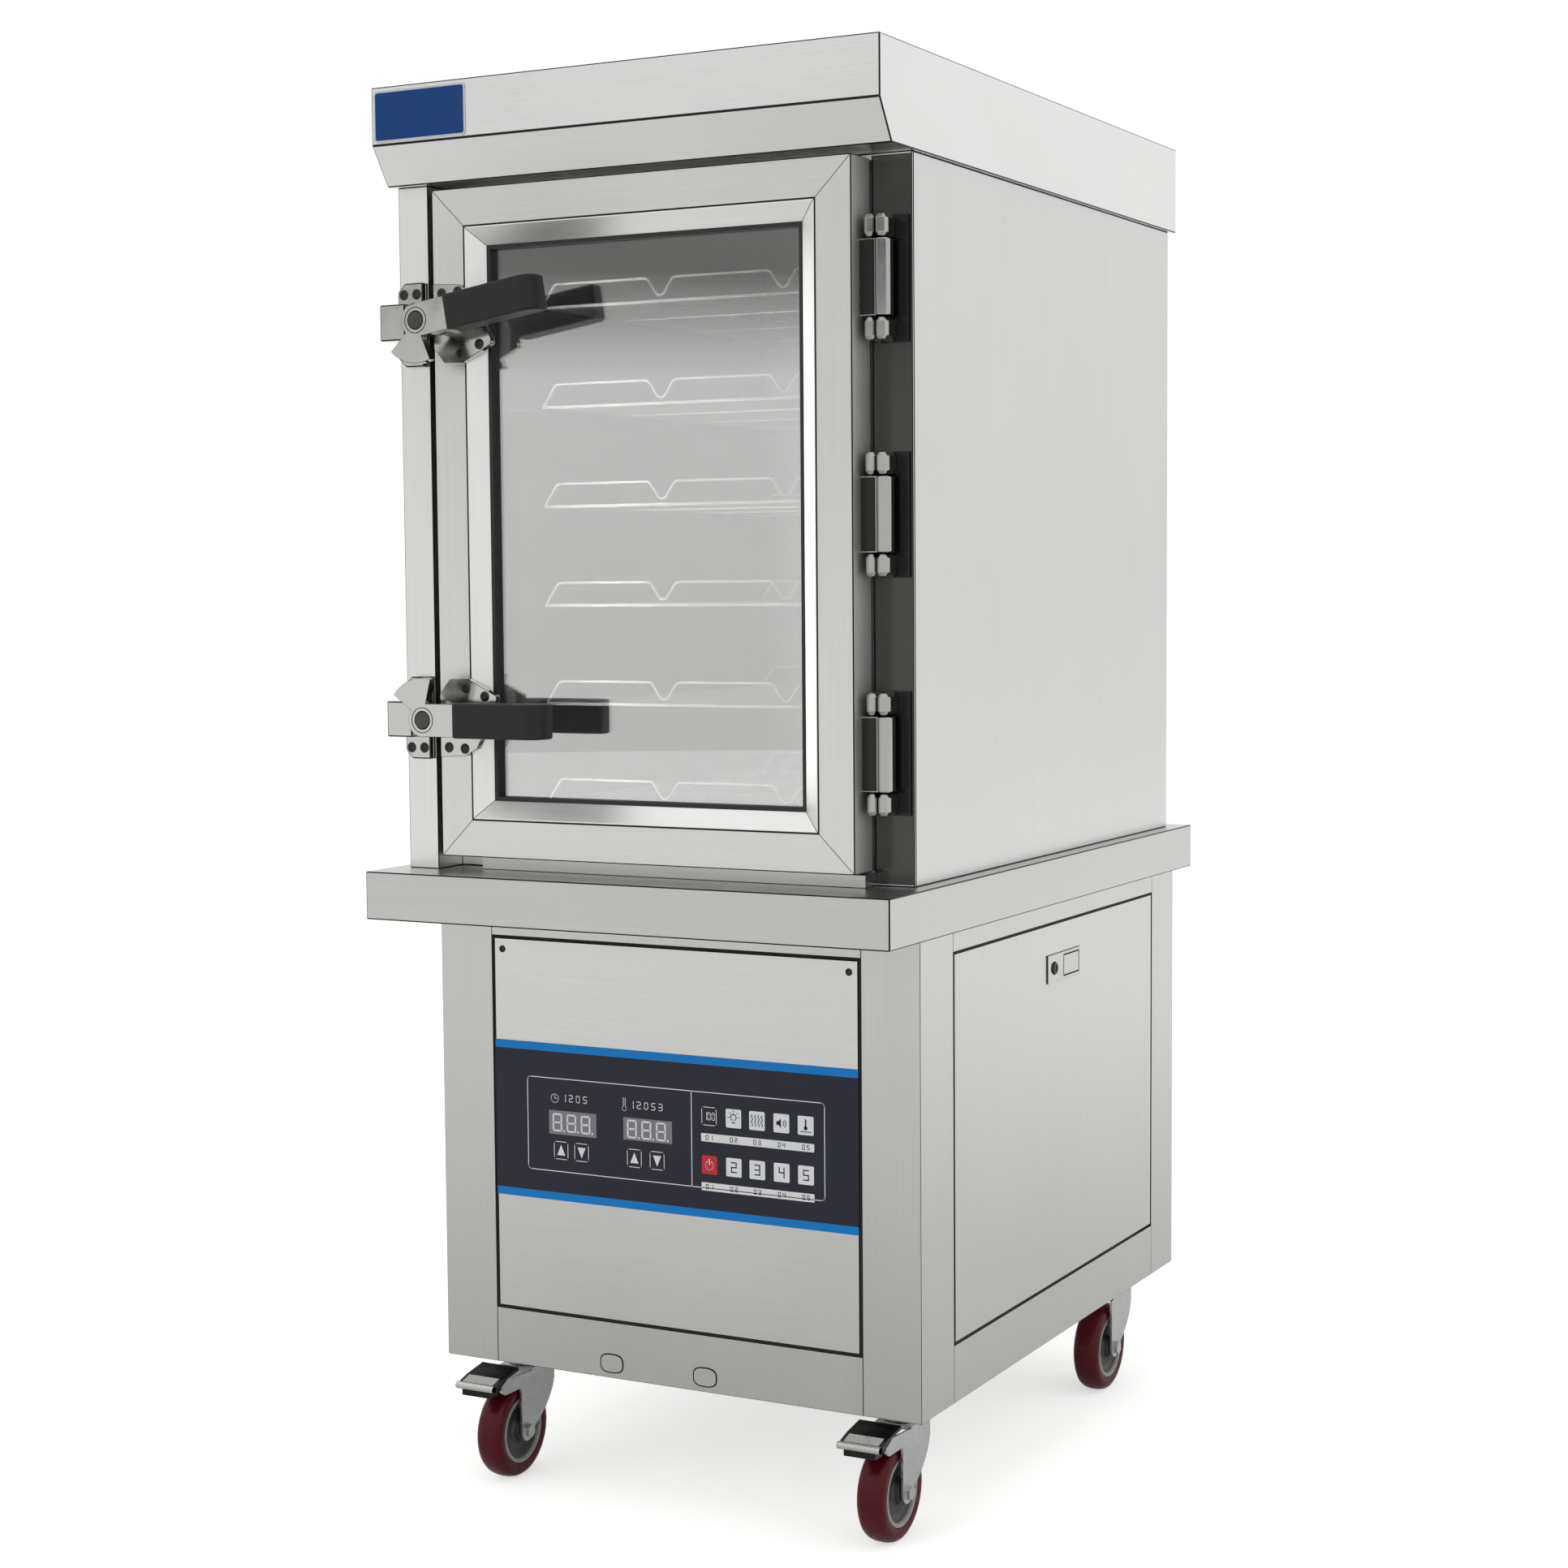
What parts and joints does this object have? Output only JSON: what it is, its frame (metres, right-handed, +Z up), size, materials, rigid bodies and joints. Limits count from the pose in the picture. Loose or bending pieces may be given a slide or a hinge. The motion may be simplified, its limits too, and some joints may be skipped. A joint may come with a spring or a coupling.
{
  "type": "steaming cabinet",
  "caption": "Stainless steaming cabinet on casters: boiler base with control panel, ledge, glazed steam chamber with latched door and wire shelves, and a canopy.",
  "frame": {"origin": "on the floor, below the middle of the whole cabinet's length and width", "axes": "+X is the cabinet's right side as seen from the front, -Y its front with the door, +Z up"},
  "size_m": [0.64, 0.897, 1.565],
  "materials": {
    "steel": "brushed stainless sheet",
    "chrome": "bright plated",
    "zinc": "bright zinc plated pressed steel",
    "pipe": "drawn copper alloy tube",
    "foam": "rigid insulating foam",
    "plastic": "moulded plastic",
    "film": "printed polyester film",
    "rubber": "matt silicone rubber",
    "grip": "grained black plastic",
    "glass": "clear toughened glass",
    "tyre": "maroon polyurethane tread on a grey hub"
  },
  "bodies": {
    "cabinet": {"base_frame": "steel", "base_skin": "steel", "front_panel": "steel", "control_membrane": "film", "control_box": "plastic", "ledge_tray": "steel", "door_surround": "steel", "body_casing": "steel", "chamber_liner": "steel", "insulation_jacket": "foam", "canopy_shell": "steel", "drip_trough": "steel", "boiler_tank": "steel", "heating_element": "steel", "water_inlet_pipe": "pipe", "drain_pipe": "pipe", "hinge_bracket_top": "chrome", "hinge_bracket_middle": "chrome", "hinge_bracket_bottom": "chrome", "latch_keeper_upper": "chrome", "latch_keeper_lower": "chrome", "caster_plate_front_left": "zinc", "caster_plate_front_right": "zinc", "caster_plate_rear_left": "zinc", "caster_plate_rear_right": "zinc"},
    "door": {"door_frame": "steel", "door_bead": "steel", "door_glass_outer": "glass", "door_glass_inner": "glass", "door_gasket": "rubber", "hinge_block_top": "chrome", "hinge_block_middle": "chrome", "hinge_block_bottom": "chrome", "latch_mount_upper": "chrome", "latch_mount_lower": "chrome"},
    "upper_latch": {"latch_lever_upper": "chrome", "latch_grip_upper": "grip"},
    "lower_latch": {"latch_lever_lower": "chrome", "latch_grip_lower": "grip"},
    "access_panel": {"side_panel": "steel", "lock_bezel": "chrome"},
    "paddle": {"lock_paddle": "chrome"},
    "button": {"lock_button": "chrome"},
    "float": {"float_arm": "plastic"},
    "fork_front_left": {"caster_fork_front_left": "zinc"},
    "fork_front_right": {"caster_fork_front_right": "zinc"},
    "fork_rear_left": {"caster_fork_rear_left": "zinc"},
    "fork_rear_right": {"caster_fork_rear_right": "zinc"},
    "wheel_front_left": {"caster_wheel_front_left": "tyre"},
    "wheel_front_right": {"caster_wheel_front_right": "tyre"},
    "wheel_rear_left": {"caster_wheel_rear_left": "tyre"},
    "wheel_rear_right": {"caster_wheel_rear_right": "tyre"},
    "pedal_front_left": {"brake_pedal_front_left": "chrome"},
    "pedal_front_right": {"brake_pedal_front_right": "chrome"},
    "shelf_1": {"wire_shelf_1": "chrome"},
    "shelf_2": {"wire_shelf_2": "chrome"},
    "shelf_3": {"wire_shelf_3": "chrome"},
    "shelf_4": {"wire_shelf_4": "chrome"},
    "shelf_5": {"wire_shelf_5": "chrome"},
    "shelf_6": {"wire_shelf_6": "chrome"}
  },
  "joints": [
    {"name": "door_swing", "type": "hinge", "parent": "cabinet", "child": "door", "pos_m": [0.272, -0.3645, 1.093], "axis": [0, 0, 1], "range_deg": [0, 150]},
    {"name": "upper_latch_turn", "type": "hinge", "parent": "door", "child": "upper_latch", "pos_m": [-0.242, -0.4395, 1.31203], "axis": [0, -1, 0], "range_deg": [-9, 81]},
    {"name": "lower_latch_turn", "type": "hinge", "parent": "door", "child": "lower_latch", "pos_m": [-0.242, -0.4395, 0.882], "axis": [0, 1, 0], "range_deg": [0, 90]},
    {"name": "access_panel_tilt", "type": "hinge", "parent": "cabinet", "child": "access_panel", "pos_m": [0.299, 0.0545, 0.213], "axis": [0, 1, 0], "range_deg": [0, 70]},
    {"name": "lock_paddle_pull", "type": "hinge", "parent": "access_panel", "child": "paddle", "pos_m": [0.301, 0.10622, 0.5815], "axis": [0, 0, 1], "range_deg": [0, 40], "stiffness_Nm_per_rad": 0.05},
    {"name": "lock_button_press", "type": "slide", "parent": "access_panel", "child": "button", "axis": [-1, 0, 0], "range_m": [0, 0.003], "stiffness_N_per_m": 200},
    {"name": "float_swing", "type": "hinge", "parent": "cabinet", "child": "float", "pos_m": [-0.08, -0.156, 0.461], "axis": [1, 0, 0], "range_deg": [0, 45]},
    {"name": "swivel_front_left", "type": "hinge", "parent": "cabinet", "child": "fork_front_left", "pos_m": [-0.242, -0.2575, 0.1225], "axis": [0, 0, 1], "continuous": true},
    {"name": "swivel_front_right", "type": "hinge", "parent": "cabinet", "child": "fork_front_right", "pos_m": [0.242, -0.2575, 0.1225], "axis": [0, 0, 1], "continuous": true},
    {"name": "swivel_rear_left", "type": "hinge", "parent": "cabinet", "child": "fork_rear_left", "pos_m": [-0.242, 0.3605, 0.1225], "axis": [0, 0, 1], "continuous": true},
    {"name": "swivel_rear_right", "type": "hinge", "parent": "cabinet", "child": "fork_rear_right", "pos_m": [0.242, 0.3605, 0.1225], "axis": [0, 0, 1], "continuous": true},
    {"name": "roll_front_left", "type": "hinge", "parent": "fork_front_left", "child": "wheel_front_left", "pos_m": [-0.242, -0.2905, 0.055], "axis": [1, 0, 0], "continuous": true},
    {"name": "roll_front_right", "type": "hinge", "parent": "fork_front_right", "child": "wheel_front_right", "pos_m": [0.242, -0.2905, 0.055], "axis": [1, 0, 0], "continuous": true},
    {"name": "roll_rear_left", "type": "hinge", "parent": "fork_rear_left", "child": "wheel_rear_left", "pos_m": [-0.242, 0.3275, 0.055], "axis": [1, 0, 0], "continuous": true},
    {"name": "roll_rear_right", "type": "hinge", "parent": "fork_rear_right", "child": "wheel_rear_right", "pos_m": [0.242, 0.3275, 0.055], "axis": [1, 0, 0], "continuous": true},
    {"name": "brake_front_left", "type": "hinge", "parent": "fork_front_left", "child": "pedal_front_left", "pos_m": [-0.242, -0.3345, 0.117], "axis": [1, 0, 0], "range_deg": [0, 12]},
    {"name": "brake_front_right", "type": "hinge", "parent": "fork_front_right", "child": "pedal_front_right", "pos_m": [0.242, -0.3345, 0.117], "axis": [1, 0, 0], "range_deg": [0, 12]},
    {"name": "shelf_1_pull", "type": "slide", "parent": "cabinet", "child": "shelf_1", "axis": [0, -1, 0], "range_m": [0, 0.13]},
    {"name": "shelf_2_pull", "type": "slide", "parent": "cabinet", "child": "shelf_2", "axis": [0, -1, 0], "range_m": [0, 0.13]},
    {"name": "shelf_3_pull", "type": "slide", "parent": "cabinet", "child": "shelf_3", "axis": [0, -1, 0], "range_m": [0, 0.13]},
    {"name": "shelf_4_pull", "type": "slide", "parent": "cabinet", "child": "shelf_4", "axis": [0, -1, 0], "range_m": [0, 0.13]},
    {"name": "shelf_5_pull", "type": "slide", "parent": "cabinet", "child": "shelf_5", "axis": [0, -1, 0], "range_m": [0, 0.13]},
    {"name": "shelf_6_pull", "type": "slide", "parent": "cabinet", "child": "shelf_6", "axis": [0, -1, 0], "range_m": [0, 0.13]}
  ]
}
